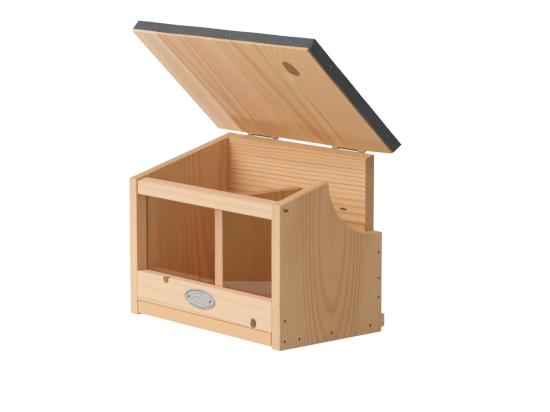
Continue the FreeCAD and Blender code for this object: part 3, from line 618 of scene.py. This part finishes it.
# %% Pine of the boards that run along the box
staple_stains = [
    dict(at=(x, 52, 127), size=(7.0, 2.0, 2.2), colour="5E4024", strength=0.7) for x in (-64.5, 78.0)]
# The top of the back board is painted darker: painted shade of the open lid above it. Its faces that look
# up are painted lighter and cooler: painted light from above.
lid_shade_on_back = dict(at=(0, 52, 182), size=(200, 30, 20), colour="F2EDE8", strength=1.0, blend="MULTIPLY")
pine_back = pine(
    "planed_pine_back_board", pith=(0, -4, 84.6), turn=(0, ALONG_X - 1.2, 0), ring_area=325, early="DC9F6C",
    late="90532A", line=0.75, sway=1.6, seed=1.7, heart=(63, 0.7), stains_and_shades=staple_stains + [lid_shade_on_back],
    painted_light_tint=((0, -0.26, 0.97), (1.05, 1.2, 1.3, 1)))
give(pine_back, nodes["back_board"])
pine_apron = pine(
    "planed_pine_apron", pith=(0, -30, -10), turn=(0, ALONG_X + 1.6, 0), ring_area=520, early="E2AC86",
    late="C68758", line=0.5, sway=3.0, seed=5.5, rosy=0.35, knots=[
        dict(at=(-61.1, -78, 48.2), size=(5.2, 4.4), turn=(55, 0, 0), reach=2.0, swell=2.0,
             core="7C5C3C", rim="62442A", halo="D9B284", rings=1.3),
        dict(at=(83.2, -78, 22.8), size=(4.7, 5.4), turn=(90, 20, 0), reach=2.4, swell=3.0,
             core="6E4E32", rim="4A301A", halo="D9B284", rings=1.6)],
    stains_and_shades=[
        dict(at=(86.7, -78, 21.6), size=(1.5, 2.0, 4.2), turn=(0, -12, 0), colour="2E1602", strength=0.95)])
give(pine_apron, nodes["front_apron"])
pine_rail = pine(
    "planed_pine_rail", pith=(0, -20, 100), turn=(0, ALONG_X - 2.0, 2.0), ring_area=420, early="E6AF86",
    late="C98A58", line=0.5, sway=3.0, seed=2.2, rosy=0.4)
give(pine_rail, nodes["front_rail"])
# The dark patch on the floor's right end is painted shade, in the narrow gap beside the side panel.
pine_floor = pine(
    "planed_pine_floor", pith=(0, -50, -60), turn=(0, ALONG_X + 0.7, 0), ring_area=170, early="DE9E6E",
    late="C47C40", line=0.6, sway=1.5, seed=4.3, stains_and_shades=[
        dict(at=(112.4, -70, 9), size=(2.6, 40.0, 20.0), colour="6B3C1C", strength=0.85)])
give(pine_floor, nodes["floor_board"])
# Its right face is painted darker and yellower: painted shade.
pine_divider = pine(
    "planed_pine_divider", pith=(-30, 40, 60), turn=(1.5, 0.6, 0), ring_area=200, early="DC9D77",
    late="A66A40", line=0.6, sway=2.0, seed=6.1, rosy=0.3, painted_light_tint=((1, 0, 0), (0.71, 0.86, 0.62, 1)))
give(pine_divider, nodes["divider_board"])
pine_batten = pine(
    "planed_pine_batten", pith=(0, 90, -20), turn=(0, ALONG_X, 1.0), ring_area=180, early="DDA878",
    late="A06840", line=0.7, sway=1.5, seed=9.9, end_tint=(1.17, 1.2, 1.35, 1))
give(pine_batten, nodes["rear_batten_lower"], nodes["rear_batten_upper"])

# %% [markdown]
# ## The lid's boards
# The lid is three boards glued edge to edge. A glue line shows because each edge was eased a little
# before gluing, so each board is a copy of the construction model's box with its loose triangles
# merged, its flat faces cleaned and its edges bevelled by a quarter of a millimetre.

# %% Lid boards with eased edges
LID_EASE = mm(0.25)


def eased_board(node):
    """A copy of a board, merged and bevelled, that stands for the node."""
    board = nodes[node].copy()
    board.data = nodes[node].data.copy()
    bpy.context.scene.collection.objects.link(board)
    board.parent = None
    edit(board)
    bpy.ops.mesh.select_all(action="SELECT")
    bpy.ops.mesh.remove_doubles(threshold=mm(0.01))
    bpy.ops.mesh.dissolve_limited(angle_limit=radians(1))
    bpy.ops.mesh.bevel(offset=LID_EASE, segments=2, affect="EDGES")
    bpy.ops.object.mode_set(mode="OBJECT")
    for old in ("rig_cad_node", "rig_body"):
        if old in board:
            del board[old]
    return done(board, node.replace("lid_board", "lid_plank"), "lid", "pine_lid", node)


planks = {side: eased_board(f"lid_board_{side}") for side in ("left", "middle", "right")}
lid_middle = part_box("lid_board_middle")
print("lid boards reach from", lid_middle[0], "to", lid_middle[1])

# %% [markdown]
# The lid stands 44 degrees above level. Its grain runs from the hinges to the front, so each log lies
# along it, and the knots, stains and painted shade of its underside are given as places on the lid:
# across, along from its rear edge, and up.

# %% Places on the open lid
LID_ANGLE = 44.0
LID_SETBACK, LID_UNDER = 1.7, 0.8
HINGE = Vector(frame["joints"][0]["pos_m"])
ON_LID = (-LID_ANGLE, 0, 0)
ALONG_LID = 90.0 - LID_ANGLE


def on_lid(x, along, up=0):
    """A point of the open lid in mm: across, along from its rear edge, and up from its underside."""
    raised = radians(LID_ANGLE)
    y, z = -LID_SETBACK - along, -LID_UNDER + up
    return (x, HINGE.y / MM + y * cos(raised) + z * sin(raised),
            HINGE.z / MM - y * sin(raised) + z * cos(raised))


# %% Pine of the lid
# The middle and right boards are painted darker and warmer along the rear edge: painted shade, where less
# light reaches under the lid by its hinges.
REAR_SHADE = dict(at=on_lid(0, -4), size=(260, 42, 14), turn=ON_LID, colour="EEEDDE", strength=1.0,
                 blend="MULTIPLY")
# The left board's early wood is paler than the other boards': painted light, for the stronger light that
# falls on the lid's left side.
pine_lid_left = pine(
    "planed_pine_lid_left", pith=on_lid(-118, 60, 40), turn=(ALONG_LID, 0.4, 0), ring_area=420,
    early="F6C89F", late="C78E63", line=0.55, sway=3.0, seed=2.9, rosy=0.2)
pine_lid_middle = pine(
    "planed_pine_lid_middle", pith=on_lid(-74, 58, 60), turn=(ALONG_LID + 0.8, 0, 0), ring_area=200,
    early="E6AD80", late="A85E36", line=0.75, sway=1.6, seed=7.3, rosy=0.4, fade=(75, 80, 0.15),
    stains_and_shades=[dict(REAR_SHADE, colour="DFD9C4")])
pine_lid_right = pine(
    "planed_pine_lid_right", pith=on_lid(45, 60, 45), turn=(ALONG_LID + 1.2, 0, 0), ring_area=380,
    early="DFA878", late="AE7040", line=0.5, sway=4.0, seed=4.6, olive=0.5, stains_and_shades=[
        REAR_SHADE,
        dict(at=on_lid(75, 42), size=(1.2, 45, 6), turn=ON_LID, colour="7A4A22", strength=0.5),
        dict(at=on_lid(34, 35), size=(15, 30, 6), turn=ON_LID, colour="F6E6CC", strength=0.6,
             blend="MULTIPLY"),
        dict(at=on_lid(75, 118), size=(7, 10, 6), turn=ON_LID, colour="E6B88C", strength=0.6)],
    knots=[
        dict(at=on_lid(89.8, 133.5), size=(9.3, 11.5), turn=ON_LID, reach=4.0, swell=9.0,
             core="A9794E", rim="4E2F18", halo="D3A273", rings=5.0)])
for side, finish in (("left", pine_lid_left), ("middle", pine_lid_middle), ("right", pine_lid_right)):
    give(finish, planks[side])

# %% [markdown]
# ## The folded sheet
# The lid's cover is one sheet of thin metal with its front and both ends folded down over the wood.
# The construction model has it with sharp open corners. Here it is modelled as a sheet metal worker
# makes it: a flat sheet whose borders are turned down, with a soft bend, seams that open a little
# towards the foot, borders that are not quite straight, and a dimple where each tack was driven.
# It is modelled as if shut and level about the hinge, then turned up to where the lid stands.

# %% Folded sheet
HALF_WIDTH = mm(144.1)
REAR, FRONT = mm(-LID_SETBACK), mm(-171.5)
TOP, FRONT_FOOT, SIDE_FOOT = mm(14.2), mm(1.6), mm(0.1)
GRID = mm(2.2)
FOLD_ROWS = 6
WIDE, DEEP = 2 * HALF_WIDTH, REAR - FRONT

deselect_all()
bpy.ops.mesh.primitive_grid_add(
    x_subdivisions=round(WIDE / GRID), y_subdivisions=round(DEEP / GRID), size=1,
    location=(0, (REAR + FRONT) / 2, TOP))
sheet = bpy.context.object
sheet.scale = (WIDE, DEEP, 1)
bpy.ops.object.transform_apply(location=True, rotation=True, scale=True)
TINY = mm(0.05)
borders = {
    "left": lambda middle, along: middle.x < -HALF_WIDTH + TINY,
    "right": lambda middle, along: middle.x > HALF_WIDTH - TINY,
    "front": lambda middle, along: middle.y < FRONT + TINY,
}
edit(sheet)
for border in ("left", "right", "front"):
    test = borders[border]
    pick(sheet, "EDGE", lambda middle, along: test(middle, along) and middle.z > TOP - TINY)
    foot = FRONT_FOOT if border == "front" else SIDE_FOOT
    bpy.ops.mesh.extrude_region_move(TRANSFORM_OT_translate={"value": (0, 0, foot - TOP)})
pick(sheet, "EDGE", lambda middle, along: abs(along.z) > mm(5))
bpy.ops.mesh.subdivide(number_cuts=FOLD_ROWS - 1)
print("sheet with its folds has", len(sheet.data.polygons), "faces")

# %% [markdown]
# Each fold is shaped row by row, from just below the bend to its foot: the front fold stops short of
# the corner, the side fold starts a little behind it, its rear end is cut slanting, and it flares
# outwards. The rear end's cut is shared by a few columns of the grid, so that none crosses another.

# %% Seams, slanting rear ends, flare and bends
FRONT_SEAM_TOP, FRONT_SEAM_FOOT = mm(0.4), mm(0.9)
SIDE_SEAM_TOP, SIDE_SEAM_FOOT = mm(1.0), mm(3.8)
REAR_TRIM, TRIMMED_COLUMNS = mm(4.2), 4
FLARE = mm(0.7)
BEND = mm(0.9)
COLUMN = DEEP / round(DEEP / GRID)


def meets(spot, x, y, z):
    """Whether a point lies at a place, within a hair."""
    return abs(spot.x - x) < TINY and abs(spot.y - y) < TINY and abs(spot.z - z) < TINY


for sign in (-1, 1):
    side = sign * HALF_WIDTH
    for row in range(1, FOLD_ROWS + 1):
        share = row / FOLD_ROWS
        front_height = TOP - (TOP - FRONT_FOOT) * share
        height = TOP - (TOP - SIDE_FOOT) * share
        pick(sheet, "VERT", lambda spot, normal: (
            meets(spot, side, FRONT, front_height) and abs(normal.y) > abs(normal.x)))
        opening = FRONT_SEAM_TOP + (FRONT_SEAM_FOOT - FRONT_SEAM_TOP) * share
        bpy.ops.transform.translate(value=(-sign * opening, 0, 0))
        pick(sheet, "VERT", lambda spot, normal: meets(spot, side, FRONT, height))
        opening = SIDE_SEAM_TOP + (SIDE_SEAM_FOOT - SIDE_SEAM_TOP) * share
        bpy.ops.transform.translate(value=(0, opening, 0))
        for column in reversed(range(TRIMMED_COLUMNS)):
            pick(sheet, "VERT", lambda spot, normal: meets(spot, side, REAR - column * COLUMN, height))
            trim = REAR_TRIM * share * (1 - column / TRIMMED_COLUMNS)
            bpy.ops.transform.translate(value=(0, -trim, 0))
        pick(sheet, "VERT", lambda spot, normal: (
            abs(spot.x - side) < TINY and abs(spot.z - height) < TINY and abs(spot.y - FRONT) > TINY))
        bpy.ops.transform.translate(value=(sign * FLARE * share ** 2, 0, 0))
pick(sheet, "EDGE", lambda middle, along: (
    middle.z > TOP - TINY and any(test(middle, along) for test in borders.values())))
bpy.ops.mesh.bevel(offset=BEND, segments=4, affect="EDGES", clamp_overlap=False)
print("seams and bends leave", len(sheet.data.polygons), "faces")

# %% Dimples round the tacks
TACK_HEIGHT = mm(8.6 - LID_UNDER)
FRONT_TACKS, SIDE_TACKS = (-106.0, 18.0, 113.0), (22.6, 133.6)
DIMPLE_DEEP, DIMPLE_WIDE, DIMPLE_FINE, DIMPLE_FLAT = mm(0.45), mm(4.2), mm(6), mm(1)
tacks = [(mm(x), FRONT, Vector((0, 1, 0))) for x in FRONT_TACKS]
tacks += [(sign * HALF_WIDTH, REAR - mm(along), Vector((-sign, 0, 0)))
          for sign in (-1, 1) for along in SIDE_TACKS]
for x, y, inwards in tacks:
    tack = Vector((x, y, TACK_HEIGHT))
    pick(sheet, "FACE", lambda middle, normal: (
        (middle - tack).length < DIMPLE_FINE and abs(normal.dot(inwards)) > 0.9))
    bpy.ops.mesh.subdivide(number_cuts=2)
    pick(sheet, "VERT", lambda spot, normal: (spot - tack).length < DIMPLE_FLAT)
    bpy.ops.transform.translate(
        value=inwards * DIMPLE_DEEP, use_proportional_edit=True, proportional_edit_falloff="SMOOTH",
        proportional_size=DIMPLE_WIDE)
print("dimples at", len(tacks), "tacks")

# %% [markdown]
# No border of a folded sheet is quite straight. Each push is a place on a border, as a share of the way
# from its middle, and a distance in mm.

# %% Wavy borders, and the sheet's thickness
SHEET = mm(0.54)
PUSH_REACH = mm(26)
PUSHES = ((-0.86, 0.5), (-0.55, -0.35), (-0.25, 0.45), (0.1, -0.3), (0.38, 0.4), (0.7, -0.25), (0.92, 0.3))
for share, push in PUSHES:
    spot_x = share * HALF_WIDTH
    pick(sheet, "VERT", lambda spot, normal: (
        spot.z < FRONT_FOOT + TINY and abs(spot.y - FRONT) < mm(1.5) and abs(spot.x - spot_x) < mm(3)))
    bpy.ops.transform.translate(
        value=(0, -mm(push) * 0.5, mm(push) * 0.5), use_proportional_edit=True,
        proportional_edit_falloff="SMOOTH", proportional_size=PUSH_REACH)
    spot_y = (FRONT + REAR) / 2 + share * DEEP / 2
    for sign in (-1, 1):
        side = sign * HALF_WIDTH
        pick(sheet, "VERT", lambda spot, normal: (
            spot.z < SIDE_FOOT + TINY and abs(spot.x - side) < mm(1.5) and abs(spot.y - spot_y) < mm(3)))
        bpy.ops.transform.translate(
            value=(sign * mm(max(push, -0.1)) * 0.8, 0, mm(push) * 0.3), use_proportional_edit=True,
            proportional_edit_falloff="SMOOTH", proportional_size=PUSH_REACH)
bpy.ops.mesh.select_all(action="SELECT")
bpy.ops.mesh.normals_make_consistent(inside=False)
bpy.ops.object.mode_set(mode="OBJECT")
top_normal = max(sheet.data.polygons, key=lambda face: face.area).normal.z
if top_normal < 0:
    sheet.data.flip_normals()
apply_modifier(sheet, "SOLIDIFY", thickness=SHEET, offset=-1.0)
sheet.data.transform(Matrix.Translation(HINGE) @ Matrix.Rotation(-radians(LID_ANGLE), 4, "X"))
deselect_all()
sheet.select_set(True)
bpy.ops.object.shade_smooth_by_angle(angle=radians(40))
roof_skin = done(sheet, "roof_skin", "lid", "grey_sheet_metal", "roof_sheet")

# %% [markdown]
# The sheet is dark grey coated steel. Light slides over the coating softly, and handling leaves faint
# cloudy wear on it, in clouds of about 45 mm. The coating itself has a fine grain of about 1 mm.

# %% Coated sheet metal
CLOUDS_PER_METRE, SPECKS_PER_METRE = 22.0, 900.0
material, tree, output = new_material("matt_coated_steel_sheet")
place = add(tree, "TexCoord")
clouds = add(tree, "TexNoise", {
    "Vector": place.outputs["Object"], "Scale": CLOUDS_PER_METRE, "Detail": 4.0, "Roughness": 0.6})
cloudy = add(tree, "MapRange", {
    "Value": clouds, "From Min": 0.3, "From Max": 0.7, "To Min": 0.85, "To Max": 1.2})
speck = add(tree, "TexNoise", {
    "Vector": place.outputs["Object"], "Scale": SPECKS_PER_METRE, "Detail": 2.0})
coat = add(tree, "Mix", {0: 1.0, 6: linear("3B3D3F"), 7: cloudy.outputs[0]}, data_type="RGBA",
           blend_type="MULTIPLY")
worn = add(tree, "MapRange", {"Value": clouds, "To Min": 0.42, "To Max": 0.6})
grain = add(tree, "Bump", {"Height": speck, "Strength": 0.15, "Distance": mm(0.05)})
steel = add(tree, "BsdfPrincipled", {
    "Base Color": coat.outputs[2], "Roughness": worn, "Specular IOR Level": 0.15, "Normal": grain})
tree.links.new(steel.outputs[0], output.inputs["Surface"])
give(material, roof_skin)

# %% [markdown]
# ## The window
# The window is a 2 mm sheet of clear, polished acrylic. So thin a sheet barely shifts what is behind
# it, so it is made as a surface that lets light straight through and mirrors a share of it. That share
# is about 4 percent seen square on and grows as the view gets flatter, as for an index of 1.49.

# %% Clear acrylic
SQUARE_ON = 0.04
material, tree, output = new_material("clear_acrylic_sheet")
slant = add(tree, "LayerWeight", {"Blend": 0.5})
steep = add(tree, "Math", {0: slant.outputs["Facing"], 1: 4.0}, operation="POWER")
mirrored_share = add(tree, "Math", {0: steep, 1: 1 - SQUARE_ON, 2: SQUARE_ON}, operation="MULTIPLY_ADD")
clear = add(tree, "BsdfTransparent", {"Color": (0.985, 0.99, 0.985, 1)})
polish = add(tree, "BsdfPrincipled", {"Base Color": (1, 1, 1, 1), "Metallic": 1.0, "Roughness": 0.02})
acrylic = add(tree, "MixShader", {0: mirrored_share, 1: clear, 2: polish})
tree.links.new(acrylic.outputs[0], output.inputs["Surface"])
give(material, nodes["window_pane"])

# %% [markdown]
# ## Hardware
# The box's hinge leaves are zinc-plated steel, which is a warm grey with a soft broken shine. In the
# middle of each hinge they are painted dark brown and dull, and the lid's leaves and the pins are dark
# brown steel: painted shade on the middle knuckles. The nails and staples are dull dark steel in their
# holes, and the tacks are the colour of the sheet that they hold.

# %% Metals of the hardware


def dull_metal(name, colour, dark, roughness, cloud_size, metallic=1.0, shaded_middle=None):
    """A metal with cloudy tarnish: two tones, mixed by noise of the given size in mm. browned is a
    place along X and a half length (mm) where, on both sides of the middle, it is painted dark brown and
    dull: painted shade."""
    material, tree, output = new_material(name)
    place = add(tree, "TexCoord")
    clouds = add(tree, "TexNoise", {
        "Vector": place.outputs["Object"], "Scale": 1 / mm(cloud_size), "Detail": 4.0, "Roughness": 0.65})
    spread = add(tree, "MapRange", {"Value": clouds, "From Min": 0.35, "From Max": 0.65})
    tone = add(tree, "Mix", {0: spread, 6: linear(dark), 7: linear(colour)}, data_type="RGBA")
    shine = metallic
    if shaded_middle:
        across = add(tree, "SeparateXYZ", {0: place.outputs["Object"]})
        beside = add(tree, "Math", {0: across.outputs["X"]}, operation="ABSOLUTE")
        beside = add(tree, "Math", {0: beside, 1: mm(shaded_middle[0])}, operation="SUBTRACT")
        beside = add(tree, "Math", {0: beside}, operation="ABSOLUTE")
        unshaded = add(tree, "MapRange", {
            "Value": beside, "From Min": mm(shaded_middle[1] - 1), "From Max": mm(shaded_middle[1] + 1)},
            interpolation_type="SMOOTHSTEP")
        tone = add(tree, "Mix", {0: unshaded, 6: linear("4A3220"), 7: tone.outputs[2]}, data_type="RGBA")
        shine = add(tree, "Math", {0: unshaded, 1: metallic}, operation="MULTIPLY")
    rough = add(tree, "MapRange", {"Value": clouds, "To Min": roughness + 0.12, "To Max": roughness - 0.1})
    bump = add(tree, "Bump", {"Height": clouds, "Strength": 0.2, "Distance": mm(0.05)})
    metal = add(tree, "BsdfPrincipled", {
        "Base Color": tone.outputs[2], "Metallic": shine, "Roughness": rough, "Specular IOR Level": 0.2,
        "Normal": bump})
    tree.links.new(metal.outputs[0], output.inputs["Surface"])
    return material


# The box leaves are painted dark brown and dull in the middle of each hinge: painted shade on the middle
# knuckle.
zinc = dull_metal("zinc_plated_steel", "B5ADA2", "7C7468", 0.42, 3.0, shaded_middle=(70.0, 14.8))
give(zinc, *[nodes[name] for name in (
    "hinge_left_box_leaf", "hinge_right_box_leaf", "hinge_screws_box", "hinge_screws_lid")])
# The lid's leaves and the pins are dark brown steel: painted shade on the middle knuckles.
shade_brown_steel = dull_metal("brown_steel_painted_shade", "5E452E", "33210F", 0.65, 2.5, 0.25)
give(shade_brown_steel, *[
    nodes[f"hinge_{side}_{piece}"] for side in ("left", "right") for piece in ("lid_leaf", "pin")])
nail_steel = dull_metal("dull_nail_steel", "5C4A36", "2A1E14", 0.55, 1.0, 0.7)
give(nail_steel, *[nodes[name] for name in (
    "panel_nails_left", "panel_nails_right", "divider_nails", "batten_nails", "batten_staples",
    "badge_pins")])
tack_steel = dull_metal("tack_steel", "6E6C6A", "3E3C3A", 0.5, 1.5)
give(tack_steel, nodes["roof_tacks_front"], nodes["roof_tacks_left"], nodes["roof_tacks_right"])

# %% [markdown]
# ## The oval plate
# The plate on the apron is pressed from thin aluminium, with a raised rim, a groove inside the rim
# and a finely stippled field. It starts as a flat oval, and its face is inset step by step, each step
# so wide and so far out or back, in mm. Dark lacquer was wiped over it and stayed in the groove and
# the stipples. The same depth also darkens the plate's edge next to the wood, as painted shade along
# its foot. The field bears a leafy sprig.

# %% Oval plate
plate_low, plate_high = (Vector(corner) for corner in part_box("badge_plate"))
plate_middle = (plate_low + plate_high) / 2
PLATE_EDGE, PLATE_FIELD = mm(0.55), mm(0.6)
RIM_STEPS = ((0.3, 0.3), (0.25, 0.05), (0.5, 0.0), (0.3, -0.3), (0.25, -0.15), (0.35, 0.0), (0.2, 0.15))
deselect_all()
bpy.ops.mesh.primitive_circle_add(
    vertices=96, radius=0.5, fill_type="NGON", location=(plate_middle.x, plate_high.y, plate_middle.z),
    rotation=(pi / 2, 0, 0))
plate = bpy.context.object
plate.scale = (plate_high.x - plate_low.x, plate_high.z - plate_low.z, 1)
bpy.ops.object.transform_apply(location=True, rotation=True, scale=True)
edit(plate)
bpy.ops.mesh.select_all(action="SELECT")
bpy.ops.mesh.extrude_region_move(TRANSFORM_OT_translate={"value": (0, -PLATE_EDGE, 0)})
for wide, out in RIM_STEPS:
    bpy.ops.mesh.inset(thickness=mm(wide))
    bpy.ops.transform.translate(value=(0, -mm(out), 0))
bpy.ops.mesh.select_all(action="SELECT")
bpy.ops.mesh.normals_make_consistent(inside=False)
bpy.ops.object.mode_set(mode="OBJECT")

# %% Leafy sprig on the plate
LEAF_THICK = 0.16
LEAVES_AT = (-7.0, -4.0, -1.0, 2.0, 5.0)
SPRIG = [(0, 0, 9.5, 0.35, 0)] + [
    (along, way * 1.7, 2.3, 0.85, way * 38) for along in LEAVES_AT for way in (-1, 1)]
for along, up, half_long, half_wide, angle in SPRIG:
    deselect_all()
    bpy.ops.mesh.primitive_uv_sphere_add(
        segments=12, ring_count=8, radius=1, rotation=(0, radians(-angle), 0),
        location=(plate_middle.x + mm(along), plate_high.y - PLATE_FIELD, plate_middle.z + mm(up)))
    leaf = bpy.context.object
    leaf.scale = mm(half_long, LEAF_THICK, half_wide)
    plate.select_set(True)
    bpy.context.view_layer.objects.active = plate
    bpy.ops.object.join()
bpy.ops.object.shade_smooth_by_angle(angle=radians(35))
oval_plate = done(plate, "oval_plate", "box", "oval_plate_metal", "badge_plate")

# %% Pressed aluminium with dark lacquer in its hollows and painted shade at its edge
STIPPLE = 0.7
DARK_DEPTH_STARTS, DARK_DEPTH_FULL = mm(0.56), mm(0.5)
material, tree, output = new_material("pressed_aluminium")
place = add(tree, "TexCoord")
spots = add(tree, "TexVoronoi", {"Vector": place.outputs["Object"], "Scale": 1 / mm(STIPPLE)})
out_from_wood = add(tree, "SeparateXYZ", {0: place.outputs["Object"]})
# Dark where the plate lies within half a millimetre of the wood: lacquer in the groove, and painted shade
# on the plate's edge.
groove_and_edge_shade = add(tree, "MapRange", {
    "Value": out_from_wood.outputs["Y"], "From Min": plate_high.y - DARK_DEPTH_STARTS,
    "From Max": plate_high.y - DARK_DEPTH_FULL})
pits = add(tree, "MapRange", {
    "Value": spots.outputs["Distance"], "From Min": 0.25, "From Max": 0.6, "To Max": 0.7})
lacquer_and_edge_shade = add(tree, "Math", {0: groove_and_edge_shade, 1: pits}, operation="MAXIMUM")
tone = add(tree, "Mix", {0: lacquer_and_edge_shade, 6: linear("D0CBC6"), 7: linear("2A2624")}, data_type="RGBA")
pressed = add(tree, "Bump", {"Height": spots.outputs["Distance"], "Strength": 0.8, "Distance": mm(-0.2)})
aluminium = add(tree, "BsdfPrincipled", {
    "Base Color": tone.outputs[2], "Metallic": 0.55, "Roughness": 0.5, "Normal": pressed})
tree.links.new(aluminium.outputs[0], output.inputs["Surface"])
give(material, oval_plate)
